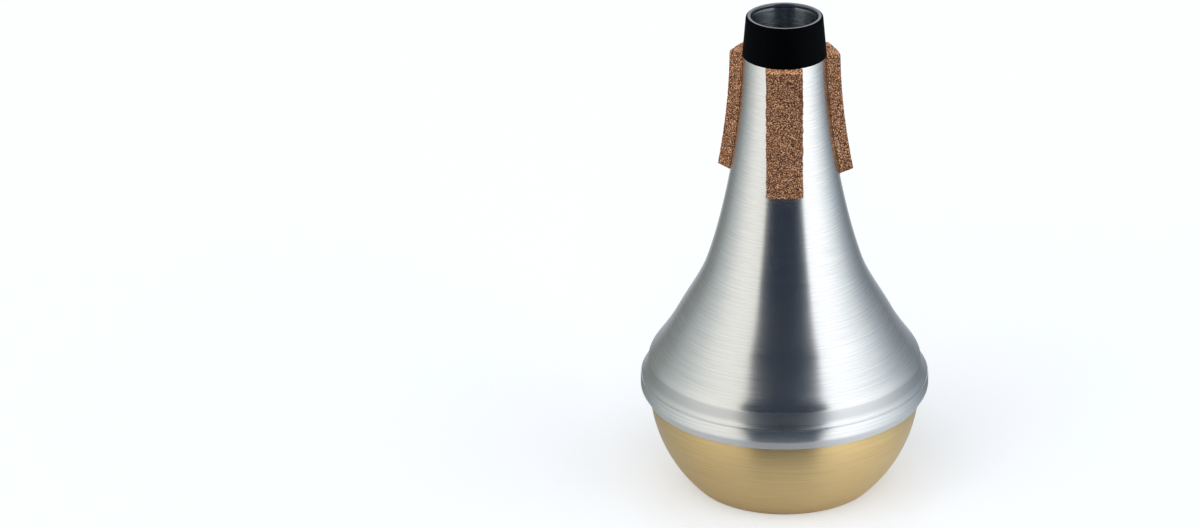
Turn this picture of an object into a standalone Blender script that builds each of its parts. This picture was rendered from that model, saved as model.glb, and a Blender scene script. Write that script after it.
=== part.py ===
"""Trumpet straight mute with a spun aluminium cone and a spun brass bottom.

Standing upright on its flat brass base, +Z up, metres.
Origin: the middle of the base, where it meets the table.  -Y is the side that the front cork faces.
A turned piece is an outline of (radius, height) points that runs down its outer side, spun about the Z axis.
"""

import math

import bmesh
import bpy

# Fits
SEAT_GAP = 0.0003               # clearance between pieces that are pressed or crimped together
GLUE_GAP = 0.0002               # clearance on each side of a glue film
GLUE_THICKNESS = 0.0002
GLUE_MARGIN = 0.0004            # how far the film stays back from the edges of its cork

# Brass bottom cup
CUP_WALL = 0.0007
CUP_HEIGHT = 0.0285             # base to the lower edge of the cone's hem
CUP_RADIUS = 0.0409             # outside of the cup at that edge
BASE_RADIUS = 0.0277            # where the flat base and the bowl would meet in a sharp edge
BASE_EDGE_ROUNDING = 0.0008
BOWL_CURVE_RADIUS = 0.0440
CUP_LIP_LENGTH = 0.0032         # how far the cup's rim runs up inside the hem

# Double bead at the wide end of the cone
HEM_BAND_HEIGHT = 0.0071        # lower, larger band, which is crimped under the cup's lip
HEM_BAND_CROWN = 0.0009
SHOULDER_BAND_HEIGHT = 0.0042   # upper, smaller band
SHOULDER_BAND_HOLLOW = 0.0002
GROOVE_PROUD = 0.0026           # how far the groove between the bands stands out from the cup
BAND_TAPER = 0.0022             # how much narrower the upper band's top is than the groove

# Aluminium cone
CONE_WALL = 0.0007
FLARE_HEIGHT = 0.0980           # top of the double bead to the seat of the collar
FOOT_SLOPE = 0.02               # radius lost for each metre of height, here at the top of the bead
SHOULDER_RISE = 0.0047          # from the top of the bead up to the rounded shoulder
SHOULDER_RADIUS = 0.03895
SHOULDER_SLOPE = 0.74
FLANK_RISE = 0.0142
FLANK_RADIUS = 0.03285
FLANK_SLOPE = 0.52
HOLLOW_RISE = 0.0322
HOLLOW_RADIUS = 0.0234
HOLLOW_SLOPE = 0.34
WAIST_DROP = 0.0376             # from the collar's seat down to the waist
WAIST_RADIUS = 0.01635
WAIST_SLOPE = 0.19
NECK_RADIUS = 0.0122
NECK_SLOPE = 0.01

# Reduced end of the neck, inside the collar
SPIGOT_STEP = 0.0009

# Black end collar: a tapered sleeve round the reduced end, with a lip over it
COLLAR_HEIGHT = 0.0119
COLLAR_PROUD = 0.0003           # how far the collar's lower edge stands out from the neck
COLLAR_TAPER = 0.0011
COLLAR_WALL = 0.0004            # at the sleeve's thin upper end, under the lip
COLLAR_LIP = 0.0011             # thickness of the lip
COLLAR_OVERHANG = 0.0002        # how far the lip reaches in past the neck's wall
COLLAR_RIM_ROUNDING = 0.0007    # outer edge of the rim
COLLAR_BORE_ROUNDING = 0.0002

# Cork pads, cut and glued on by hand: name, degrees round from the front, length
CORK_PADS = (
    ("front", 0.0, 0.0388),
    ("right", 110.0, 0.0382),
    ("left", -119.0, 0.0379),
)
CORK_WIDTH = 0.0107
CORK_THICKNESS = 0.0032
CORK_CROWN = 0.0003             # how far the outer face falls away towards its long edges
CORK_UNDERCUT = 0.0011          # the lower end is cut square to the sloping cone

# Fillet of sealing compound in the seam
SEALANT_WIDTH = 0.0013          # at its foot, on the cup's lip
SEALANT_TIP_WIDTH = 0.0003
SEALANT_LENGTH = 0.0024
SEALANT_HOLLOW = 0.0003         # how far the fillet's free face is hollowed

# Heights and radii where the pieces meet
GROOVE_HEIGHT = CUP_HEIGHT + HEM_BAND_HEIGHT
BEAD_TOP_HEIGHT = GROOVE_HEIGHT + SHOULDER_BAND_HEIGHT
SEAT_HEIGHT = BEAD_TOP_HEIGHT + FLARE_HEIGHT
HEM_EDGE_RADIUS = CUP_RADIUS + SEAT_GAP + CONE_WALL
GROOVE_RADIUS = CUP_RADIUS + GROOVE_PROUD
BEAD_TOP_RADIUS = GROOVE_RADIUS - BAND_TAPER
SPIGOT_BASE_RADIUS = NECK_RADIUS - SPIGOT_STEP
COLLAR_FOOT_HEIGHT = SEAT_HEIGHT + SEAT_GAP
COLLAR_FOOT_RADIUS = NECK_RADIUS + COLLAR_PROUD
LEDGE_RISE = COLLAR_HEIGHT - COLLAR_LIP
LEDGE_HEIGHT = COLLAR_FOOT_HEIGHT + LEDGE_RISE
LEDGE_RADIUS = COLLAR_FOOT_RADIUS - COLLAR_TAPER * LEDGE_RISE / COLLAR_HEIGHT - COLLAR_WALL
SPIGOT_TOP_HEIGHT = LEDGE_HEIGHT - SEAT_GAP
SPIGOT_TOP_RADIUS = LEDGE_RADIUS - SEAT_GAP
COLLAR_BORE_RADIUS = SPIGOT_TOP_RADIUS - CONE_WALL - COLLAR_OVERHANG
CORK_LIFT = GLUE_GAP + GLUE_THICKNESS + GLUE_GAP

# The flare's stations from the neck down: height, radius, and radius lost for each metre of height
FLARE_STATIONS = (
    (SEAT_HEIGHT, NECK_RADIUS, NECK_SLOPE),
    (SEAT_HEIGHT - WAIST_DROP, WAIST_RADIUS, WAIST_SLOPE),
    (BEAD_TOP_HEIGHT + HOLLOW_RISE, HOLLOW_RADIUS, HOLLOW_SLOPE),
    (BEAD_TOP_HEIGHT + FLANK_RISE, FLANK_RADIUS, FLANK_SLOPE),
    (BEAD_TOP_HEIGHT + SHOULDER_RISE, SHOULDER_RADIUS, SHOULDER_SLOPE),
    (BEAD_TOP_HEIGHT, BEAD_TOP_RADIUS, FOOT_SLOPE),
)

# Fineness of the faceted solids
TURN_STEPS = 48
FLARE_ROWS = (6, 5, 3, 2, 3)    # between one station of the flare and the next
BAND_ROWS = 4
HEM_ROWS = 8
BOWL_ROWS = 8
LIP_ROWS = 4
ROUNDING_ROWS = 3
PAD_ROWS = 7
PAD_COLUMNS = 4
SMOOTH_ANGLE = math.radians(35)

# Colours as linear RGB, metallic and roughness
ALUMINIUM = ("spun_aluminium", (0.62, 0.64, 0.66), 1.0, 0.32)
BRASS = ("spun_brass", (0.60, 0.46, 0.22), 1.0, 0.34)
BLACK_PLASTIC = ("moulded_black_plastic", (0.008, 0.009, 0.011), 0.0, 0.45)
CORK = ("agglomerated_cork", (0.21, 0.10, 0.055), 0.0, 0.85)
COMPOUND = ("sealing_compound", (0.45, 0.42, 0.36), 0.0, 0.60)
CEMENT = ("contact_cement", (0.50, 0.36, 0.16), 0.0, 0.50)


def clear_scene():
    """Remove every object, so that the script can be run again in the same file."""
    for old in list(bpy.data.objects):
        bpy.data.objects.remove(old, do_unlink=True)


def make_material(finish):
    """A Principled BSDF material from a name, a colour, a metallic value and a roughness."""
    name, colour, metallic, roughness = finish
    material = bpy.data.materials.new(name)
    material.use_nodes = True
    shader = material.node_tree.nodes["Principled BSDF"]
    shader.inputs["Base Color"].default_value = (*colour, 1.0)
    shader.inputs["Metallic"].default_value = metallic
    shader.inputs["Roughness"].default_value = roughness
    return material


def add_object(name, bm, finish, parent, azimuth=0.0):
    """Turn a closed bmesh into an object of its own, smooth but for its real edges."""
    bmesh.ops.recalc_face_normals(bm, faces=bm.faces)
    mesh = bpy.data.meshes.new(name)
    bm.to_mesh(mesh)
    bm.free()
    mesh.shade_smooth()
    mesh.set_sharp_from_angle(angle=SMOOTH_ANGLE)
    mesh.materials.append(make_material(finish))
    piece = bpy.data.objects.new(name, mesh)
    piece.parent = parent
    piece.rotation_euler = (0.0, 0.0, azimuth)
    bpy.context.scene.collection.objects.link(piece)
    return piece


def turned(name, outline, finish, parent):
    """Spin a closed outline about the Z axis, but for an edge of it that lies on the axis."""
    bm = bmesh.new()
    section = [bm.verts.new((radius, 0.0, height)) for radius, height in outline]
    pairs = zip(section, section[1:] + section[:1])
    edges = [bm.edges.new(pair) for pair in pairs if pair[0].co.x > 0.0 or pair[1].co.x > 0.0]
    bmesh.ops.spin(bm, geom=section + edges, cent=(0, 0, 0), axis=(0, 0, 1), dvec=(0, 0, 0),
                   angle=math.tau, steps=TURN_STEPS, use_merge=True)
    bmesh.ops.remove_doubles(bm, verts=bm.verts, dist=1e-7)
    return add_object(name, bm, finish, parent)


def arc(start, end, crown, rows):
    """Points of a circular arc from start to end, which stands crown out from its chord on the outer side."""
    along = (end[0] - start[0], end[1] - start[1])
    chord = math.hypot(*along)
    half_angle = 2.0 * math.atan(2.0 * crown / chord)
    curve_radius = chord / (2.0 * math.sin(half_angle))
    points = []
    for row in range(rows + 1):
        angle = half_angle * (2.0 * row / rows - 1.0)
        share = 0.5 + curve_radius * math.sin(angle) / chord
        bulge = curve_radius * (math.cos(angle) - math.cos(half_angle)) / chord
        points.append((start[0] + along[0] * share - along[1] * bulge,
                       start[1] + along[1] * share + along[0] * bulge))
    return points


def rounded_corner(before, corner, after, radius, rows):
    """Points of the arc that rounds an outline's corner."""
    to_before = (before[0] - corner[0], before[1] - corner[1])
    to_after = (after[0] - corner[0], after[1] - corner[1])
    before_length = math.hypot(*to_before)
    after_length = math.hypot(*to_after)
    cosine = (to_before[0] * to_after[0] + to_before[1] * to_after[1]) / (before_length * after_length)
    half_opening = 0.5 * math.acos(cosine)
    setback = radius / math.tan(half_opening)
    start = tuple(corner[i] + to_before[i] * setback / before_length for i in (0, 1))
    end = tuple(corner[i] + to_after[i] * setback / after_length for i in (0, 1))
    return arc(start, end, radius * (1.0 - math.sin(half_opening)), rows)


def inward(outline, distance):
    """The outline moved towards the inside of the shell, with mitred corners."""
    normals = []
    for (r0, z0), (r1, z1) in zip(outline, outline[1:]):
        length = math.hypot(r1 - r0, z1 - z0)
        normals.append(((z1 - z0) / length, (r0 - r1) / length))
    moved = []
    for index, (radius, height) in enumerate(outline):
        a = normals[max(index - 1, 0)]
        b = normals[min(index, len(normals) - 1)]
        mitre = distance / (1.0 + a[0] * b[0] + a[1] * b[1])
        moved.append((radius + (a[0] + b[0]) * mitre, height + (a[1] + b[1]) * mitre))
    return moved


def shell(outline, wall):
    """The closed outline of a sheet-metal wall whose outer side is the given outline."""
    return outline + inward(outline, wall)[::-1]


def flare_radius(height):
    """Outer radius of the cone at a height between the collar's seat and the top of the bead.

    Between two stations the radius is the cubic that has the radius and the slope of both.
    """
    for upper, lower in zip(FLARE_STATIONS, FLARE_STATIONS[1:]):
        if height >= lower[0]:
            break
    span = upper[0] - lower[0]
    t = (height - lower[0]) / span
    return (lower[1] * (2 * t ** 3 - 3 * t ** 2 + 1) - lower[2] * span * (t ** 3 - 2 * t ** 2 + t)
            + upper[1] * (3 * t ** 2 - 2 * t ** 3) - upper[2] * span * (t ** 3 - t ** 2))


def flare_outline():
    """Points of the flare from the collar's seat down to the top of the bead."""
    points = []
    for upper, lower, rows in zip(FLARE_STATIONS, FLARE_STATIONS[1:], FLARE_ROWS):
        for row in range(rows):
            height = upper[0] + (lower[0] - upper[0]) * row / rows
            points.append((flare_radius(height), height))
    return points


def hem_outline():
    """Points of the lower band, from the groove down and in to the hem's edge."""
    return arc((GROOVE_RADIUS, GROOVE_HEIGHT), (HEM_EDGE_RADIUS, CUP_HEIGHT), HEM_BAND_CROWN, HEM_ROWS)


def inside_hem(depth, from_edge, to_edge, rows):
    """Points on the arc that runs depth inside the hem, between two lengths measured up from its edge."""
    line = inward(hem_outline(), depth)
    steps = [math.dist(a, b) for a, b in zip(line, line[1:])]
    points = []
    for row in range(rows + 1):
        wanted = sum(steps) - (from_edge + (to_edge - from_edge) * row / rows)
        index = 0
        while index < len(steps) - 1 and wanted > steps[index]:
            wanted -= steps[index]
            index += 1
        share = wanted / steps[index]
        (r0, z0), (r1, z1) = line[index], line[index + 1]
        points.append((r0 + (r1 - r0) * share, z0 + (z1 - z0) * share))
    return points


def make_cone_body(parent):
    """Spun aluminium cone: spigot, flare, a hollow band, a crowned band below it, and the hem."""
    spigot = [(SPIGOT_TOP_RADIUS, SPIGOT_TOP_HEIGHT), (SPIGOT_BASE_RADIUS, SEAT_HEIGHT)]
    shoulder_band = arc((BEAD_TOP_RADIUS, BEAD_TOP_HEIGHT), (GROOVE_RADIUS, GROOVE_HEIGHT),
                        -SHOULDER_BAND_HOLLOW, BAND_ROWS)
    outer = spigot + flare_outline() + shoulder_band + hem_outline()[1:]
    return turned("cone_body", shell(outer, CONE_WALL), ALUMINIUM, parent)


def make_bottom_cup(parent):
    """Spun brass cup: flat base, rounded bowl, and a lip that turns out into the hem."""
    seam = (CUP_RADIUS, CUP_HEIGHT)
    corner = (BASE_RADIUS, 0.0)
    chord = math.dist(seam, corner)
    bowl_crown = BOWL_CURVE_RADIUS - math.sqrt(BOWL_CURVE_RADIUS ** 2 - 0.25 * chord ** 2)
    bowl = arc(seam, corner, bowl_crown, BOWL_ROWS)
    base_edge = rounded_corner(bowl[-2], corner, (0.0, 0.0), BASE_EDGE_ROUNDING, ROUNDING_ROWS)
    lip = inside_hem(CONE_WALL + SEAT_GAP, CUP_LIP_LENGTH, 0.0, LIP_ROWS)
    outer = lip + bowl[:-1] + base_edge + [(0.0, 0.0)]
    return turned("bottom_cup", shell(outer, CUP_WALL), BRASS, parent)


def make_seam_sealant(parent):
    """Fillet of sealing compound inside the hem, on top of the cup's lip."""
    depth = CONE_WALL + SEAT_GAP
    low = CUP_LIP_LENGTH + SEAT_GAP
    high = low + SEALANT_LENGTH
    outer = inside_hem(depth, high, low, LIP_ROWS)
    foot = inside_hem(depth + SEALANT_WIDTH, low, high, 1)[0]
    tip = inside_hem(depth + SEALANT_TIP_WIDTH, high, low, 1)[0]
    return turned("seam_sealant", outer + arc(foot, tip, -SEALANT_HOLLOW, LIP_ROWS), COMPOUND, parent)


def make_end_collar(parent):
    """Black moulded collar: a tapered sleeve round the neck's spigot, and a lip over the spigot's end."""
    top = COLLAR_FOOT_HEIGHT + COLLAR_HEIGHT
    foot = (COLLAR_FOOT_RADIUS, COLLAR_FOOT_HEIGHT)
    rim_outer = (COLLAR_FOOT_RADIUS - COLLAR_TAPER, top)
    rim_inner = (COLLAR_BORE_RADIUS, top)
    ledge_inner = (COLLAR_BORE_RADIUS, LEDGE_HEIGHT)
    outline = (
        rounded_corner(rim_inner, rim_outer, foot, COLLAR_RIM_ROUNDING, ROUNDING_ROWS)
        + [foot,
           (SPIGOT_BASE_RADIUS + SEAT_GAP, COLLAR_FOOT_HEIGHT),
           (LEDGE_RADIUS, LEDGE_HEIGHT),
           ledge_inner]
        + rounded_corner(ledge_inner, rim_inner, rim_outer, COLLAR_BORE_ROUNDING, ROUNDING_ROWS))
    return turned("end_collar", outline, BLACK_PLASTIC, parent)


def cone_face(lift):
    """Depth of a face that runs lift away from the cone, by height and distance from the middle."""
    def depth(height, across):
        return math.sqrt((flare_radius(height) + lift) ** 2 - across ** 2)
    return depth


def cork_face(height, across):
    """Depth of a cork's outer face, crowned across its width and following the flare down its length."""
    return flare_radius(height) + CORK_LIFT + CORK_THICKNESS - CORK_CROWN * (2.0 * across / CORK_WIDTH) ** 2


def make_pad(name, azimuth, width, top, bottom, undercut, inner_face, outer_face, finish, parent):
    """A pad between two faces. Its lower end rises by undercut towards the outside."""
    bm = bmesh.new()
    sheets = []
    for face, rise in ((inner_face, 0.0), (outer_face, undercut)):
        sheet = []
        for row in range(PAD_ROWS + 1):
            share = row / PAD_ROWS
            height = top + (bottom - top) * share
            offsets = [(column / PAD_COLUMNS - 0.5) * width for column in range(PAD_COLUMNS + 1)]
            sheet.append([bm.verts.new((x, -face(height, x), height + rise * share)) for x in offsets])
        sheets.append(sheet)
    inner, outer = sheets
    for sheet in sheets:
        for upper, lower in zip(sheet, sheet[1:]):
            for i in range(PAD_COLUMNS):
                bm.faces.new((upper[i], upper[i + 1], lower[i + 1], lower[i]))
    for row in (0, PAD_ROWS):
        for i in range(PAD_COLUMNS):
            bm.faces.new((inner[row][i], inner[row][i + 1], outer[row][i + 1], outer[row][i]))
    for column in (0, PAD_COLUMNS):
        for row in range(PAD_ROWS):
            bm.faces.new((inner[row][column], inner[row + 1][column],
                          outer[row + 1][column], outer[row][column]))
    return add_object(name, bm, finish, parent, azimuth)


def make_corks(parent):
    """The cork pads, whose upper ends meet the collar, each on its film of contact cement."""
    top = SEAT_HEIGHT
    for side, degrees, length in CORK_PADS:
        azimuth = math.radians(degrees)
        bottom = top - length
        make_pad("cork_" + side, azimuth, CORK_WIDTH, top, bottom, CORK_UNDERCUT,
                 cone_face(CORK_LIFT), cork_face, CORK, parent)
        make_pad("glue_" + side, azimuth, CORK_WIDTH - 2.0 * GLUE_MARGIN, top - GLUE_MARGIN,
                 bottom + GLUE_MARGIN, 0.0, cone_face(GLUE_GAP), cone_face(GLUE_GAP + GLUE_THICKNESS),
                 CEMENT, parent)


def main():
    """Build the mute under one empty at its origin."""
    clear_scene()
    mute = bpy.data.objects.new("straight_mute", None)
    bpy.context.scene.collection.objects.link(mute)
    make_bottom_cup(mute)
    make_seam_sealant(mute)
    make_cone_body(mute)
    make_end_collar(mute)
    make_corks(mute)


main()
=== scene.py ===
"""Looks of the trumpet straight mute: a spun aluminium cone, a spun brass cup, a black collar and three cork pads.

The mute stands on its base at the origin, +Z up, in metres.  -Y is the side that the front cork faces.
A turned piece is an outline of (radius, height) points in metres that is carried round the Z axis.
"""

import itertools
import logging
import math
from dataclasses import dataclass
from enum import Enum

import bpy
import numpy as np
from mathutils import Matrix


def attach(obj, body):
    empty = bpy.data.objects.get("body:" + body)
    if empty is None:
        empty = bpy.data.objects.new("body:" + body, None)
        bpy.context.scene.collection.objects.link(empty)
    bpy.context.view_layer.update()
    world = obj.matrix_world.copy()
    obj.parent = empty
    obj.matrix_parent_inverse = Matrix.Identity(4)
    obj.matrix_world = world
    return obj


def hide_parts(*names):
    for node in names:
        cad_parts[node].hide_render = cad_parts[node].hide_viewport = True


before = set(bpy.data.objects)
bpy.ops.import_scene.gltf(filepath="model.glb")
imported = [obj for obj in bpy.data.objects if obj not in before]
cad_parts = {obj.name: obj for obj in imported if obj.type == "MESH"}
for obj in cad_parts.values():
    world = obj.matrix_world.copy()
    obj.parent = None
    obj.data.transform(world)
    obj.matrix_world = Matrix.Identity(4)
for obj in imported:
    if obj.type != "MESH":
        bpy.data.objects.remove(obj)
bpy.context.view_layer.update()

MM = 0.001
FULL_TURN = 2.0 * math.pi
BODY = "root"
RING_MAP = "rings"              # UV map of a turned piece: share of the turn, millimetres along its outline
CUT_AND_LIT_ATTRIBUTE = "cut_and_lit"                   # attribute of a cork pad: how much paler each face is painted, 0 on its inner and outer face; partly newly cut cork, partly painted light
SIDE_CUT_AND_LIGHT, END_CUT_AND_LIGHT = 1.0, 4.0    # weight on its long sides, partly painted light against the cone's shade, and on its ends, mostly a painted highlight of light from above

log = logging.getLogger("straight_mute")


class PadSide(Enum):
    """Where a cork pad is glued to the neck: degrees round from the front, and its length in metres."""

    FRONT = (0.0, 0.0388)
    RIGHT = (110.0, 0.0382)
    LEFT = (-119.0, 0.0379)

    def __init__(self, degrees: float, length: float) -> None:
        """Keep the side's two measures by name."""
        self.turn = math.radians(degrees)
        self.length = length


# ---- shader helpers

def linear(colour: str) -> tuple:
    """Turn an sRGB colour of six hex digits into linear red, green, blue and an alpha of 1."""
    channels = (int(colour[i:i + 2], 16) / 255.0 for i in (0, 2, 4))
    return (*(c / 12.92 if c <= 0.04045 else ((c + 0.055) / 1.055) ** 2.4 for c in channels), 1.0)


def add_node(tree: bpy.types.NodeTree, kind: str, inputs: dict = None, stops: tuple = (), **settings) -> bpy.types.Node:
    """Add a node with its settings, its constants and its links.

    Args:
        tree: node tree that takes the node.
        kind: the node's type name.
        inputs: value or output socket for each input, by its name or number.
        stops: colour stops of a ramp, as (position, hex colour).
        settings: the node's own properties.

    Returns:
        The new node.
    """
    node = tree.nodes.new(kind)
    for key, value in settings.items():
        setattr(node, key, value)
    for key, value in (inputs or {}).items():
        if isinstance(value, bpy.types.NodeSocket):
            tree.links.new(value, node.inputs[key])
        else:
            node.inputs[key].default_value = value
    for index, (position, colour) in enumerate(stops):
        ramp = node.color_ramp.elements
        stop = ramp[index] if index < 2 else ramp.new(position)
        stop.position = position
        stop.color = linear(colour)
    return node


def new_material(name: str) -> tuple:
    """Make an empty node material.

    Args:
        name: the material's name.

    Returns:
        The material, its node tree and its output node.
    """
    material = bpy.data.materials.new(name)
    material.use_nodes = True
    tree = material.node_tree
    tree.nodes.clear()
    return material, tree, tree.nodes.new("ShaderNodeOutputMaterial")


# ---- mesh helpers

def make_piece(name: str, points: np.ndarray, faces: list, maps: list = ()) -> bpy.types.Object:
    """Put arrays of points and faces into a smooth mesh object at the origin.

    Args:
        name: the object's name.
        points: corners, one row each.
        faces: arrays of corner numbers, one row per face, all of one array with the same number of corners.
        maps: for each array of faces, the map positions of its corners.

    Returns:
        The linked object.
    """
    corners = np.concatenate([part.ravel() for part in faces]).astype(np.int32)
    counts = np.concatenate([np.full(len(part), part.shape[1]) for part in faces])
    mesh = bpy.data.meshes.new(name)
    mesh.vertices.add(len(points))
    mesh.vertices.foreach_set("co", points.astype(np.float32).ravel())
    mesh.loops.add(len(corners))
    mesh.loops.foreach_set("vertex_index", corners)
    mesh.polygons.add(len(counts))
    mesh.polygons.foreach_set("loop_start", (counts.cumsum() - counts).astype(np.int32))
    mesh.update(calc_edges=True)
    if maps:
        layer = mesh.uv_layers.new(name=RING_MAP)
        layer.data.foreach_set("uv", np.concatenate([part.ravel() for part in maps]).astype(np.float32))
    mesh.shade_smooth()
    piece = bpy.data.objects.new(name, mesh)
    bpy.context.scene.collection.objects.link(piece)
    return piece


def revolve(name: str, outline: np.ndarray, steps: int) -> bpy.types.Object:
    """Carry an outline round the Z axis: the point (r, h) at turn a goes to (r cos a, r sin a, h).

    An outline whose ends are on the axis gets one corner at each pole. Any other outline is closed into a ring.

    Args:
        name: the object's name.
        outline: radius and height of each point, down the outer side and up the inner side.
        steps: faces round the turn.

    Returns:
        The turned object, its map giving the share of the turn and the millimetres along the outline.
    """
    has_poles = outline[0, 0] == 0.0
    chain = outline if has_poles else np.vstack((outline, outline[:1]))
    along = np.concatenate(([0.0], np.hypot(*np.diff(chain, axis=0).T).cumsum())) / MM
    angle = np.arange(steps) * FULL_TURN / steps
    points = np.stack((np.outer(outline[:, 0], np.cos(angle)),
                       np.outer(outline[:, 0], np.sin(angle)),
                       np.repeat(outline[:, 1:], steps, axis=1)), axis=-1).reshape(-1, 3)
    row, column = np.meshgrid(np.arange(len(chain) - 1), np.arange(steps), indexing="ij")
    row, column = row.ravel(), column.ravel()
    rows = np.stack((row, row + 1, row + 1, row), axis=1)
    columns = np.stack((column, column, column + 1, column + 1), axis=1)
    places = np.stack((columns / steps, along[rows]), axis=-1)
    corners = rows % len(outline) * steps + columns % steps
    if not has_poles:
        return make_piece(name, points, [corners], [places])
    first, last = row == 0, row == len(chain) - 2
    middle = ~(first | last)
    corners[first, 0] = 0
    corners[last, 1] = (len(outline) - 1) * steps
    used = np.ones(len(points), bool)
    used[1:steps] = used[1 - steps:] = False
    renumbered = np.cumsum(used) - 1
    corners = renumbered[corners]
    parts = ((middle, (0, 1, 2, 3)), (first, (0, 1, 2)), (last, (0, 1, 3)))
    return make_piece(name, points[used], [corners[which][:, keep] for which, keep in parts],
                      [places[which][:, keep] for which, keep in parts])


def crowned_arc(start: tuple, end: tuple, crown: float, rows: int) -> np.ndarray:
    """Points of a circular arc that stands crown out from its chord, on the outer side of a falling outline.

    Args:
        start: first point.
        end: last point.
        crown: height of the arc over its chord.
        rows: steps along the arc.

    Returns:
        The rows + 1 points.
    """
    start, end = np.array(start), np.array(end)
    chord = np.hypot(*(end - start))
    half_angle = 2.0 * math.atan(2.0 * crown / chord)
    angle = np.linspace(-half_angle, half_angle, rows + 1)[:, None]
    share = 0.5 + 0.5 * np.sin(angle) / math.sin(half_angle)
    bulge = 0.5 * (np.cos(angle) - math.cos(half_angle)) / math.sin(half_angle)
    side = np.array((start[1] - end[1], end[0] - start[0]))
    return start + (end - start) * share + side * bulge


def fillet(before: tuple, corner: tuple, after: tuple, radius: float, rows: int) -> np.ndarray:
    """Points of the arc of a given radius that touches both sides of an outline's corner.

    Args:
        before: a point of the outline before the corner.
        corner: the corner.
        after: a point of the outline after it.
        radius: radius of the arc.
        rows: steps along the arc.

    Returns:
        The rows + 1 points, from the side of before to the side of after.
    """
    corner = np.array(corner)
    back, ahead = np.array(before) - corner, np.array(after) - corner
    back, ahead = back / np.hypot(*back), ahead / np.hypot(*ahead)
    half_opening = 0.5 * math.acos(back @ ahead)
    middle = (back + ahead) / np.hypot(*(back + ahead))
    centre = corner + middle * radius / math.sin(half_opening)
    start = corner + back * radius / math.tan(half_opening) - centre
    end = corner + ahead * radius / math.tan(half_opening) - centre
    sweep = math.pi - 2.0 * half_opening
    share = np.linspace(0.0, 1.0, rows + 1)[:, None]
    return centre + (start * np.sin((1.0 - share) * sweep) + end * np.sin(share * sweep)) / math.sin(sweep)


def inward(outline: np.ndarray, distance: float) -> np.ndarray:
    """The outline moved towards the inside of the shell, each point along the mitre of its two neighbours.

    Args:
        outline: points down the outer side.
        distance: how far the line moves.

    Returns:
        The moved points.
    """
    steps = np.diff(outline, axis=0)
    normals = np.stack((steps[:, 1], -steps[:, 0]), axis=1) / np.hypot(*steps.T)[:, None]
    a, b = np.vstack((normals[:1], normals)), np.vstack((normals, normals[-1:]))
    return outline + (a + b) * distance / (1.0 + (a * b).sum(axis=1, keepdims=True))


def thinned(outline: np.ndarray, keep_every: int) -> np.ndarray:
    """Every so many points of an outline, with both of its ends."""
    picked = np.unique(np.append(np.arange(0, len(outline), keep_every), len(outline) - 1))
    return outline[picked]


def scored(outline: np.ndarray, place: tuple, depth: float, width: float) -> np.ndarray:
    """The outline with a fine line turned into it: near a place it sinks by depth cos^2(pi s / width).

    Args:
        outline: points down the outer side.
        place: the point of the outline where the line runs, s being the distance from it along the outline.
        depth: depth of the line, towards the inside and square to the outline's course there.
        width: width of the line.

    Returns:
        The outline, with closer points across the line.
    """
    along = np.concatenate(([0.0], np.hypot(*np.diff(outline, axis=0).T).cumsum()))
    centre = along[np.hypot(*(outline - np.array(place)).T).argmin()]
    across = np.linspace(-0.5 * width, 0.5 * width, 17)
    wanted = np.sort(np.concatenate((along[np.abs(along - centre) > 0.55 * width], centre + across)))
    line = np.stack([np.interp(wanted, along, outline[:, axis]) for axis in (0, 1)], axis=1)
    near = line[np.abs(wanted - centre) < width]
    course = (near[-1] - near[0]) / np.hypot(*(near[-1] - near[0]))
    share = np.clip((wanted - centre) / width, -0.5, 0.5)[:, None]
    return line + depth * np.cos(math.pi * share) ** 2 * np.array((course[1], -course[0]))


def lattice_noise(points: np.ndarray, cell: float, seed: int) -> np.ndarray:
    """Smooth noise from 0 to 1: random numbers on a cubic lattice, blended with smoothstep weights between its corners.

    Args:
        points: places, one row each.
        cell: edge of the lattice's cubes.
        seed: choice of the random numbers.

    Returns:
        One value for each place.
    """
    table = np.random.default_rng(seed).random(8192)
    scaled = points / cell
    low = np.floor(scaled).astype(np.int64)
    share = scaled - low
    share = share * share * (3.0 - 2.0 * share)
    total = np.zeros(len(points))
    for offset in itertools.product((0, 1), repeat=3):
        key = (low + offset) * (73856093, 19349663, 83492791)
        weight = np.where(offset, share, 1.0 - share).prod(axis=1)
        total += weight * table[(key[:, 0] ^ key[:, 1] ^ key[:, 2]) % len(table)]
    return total


# ---- finishes

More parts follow.
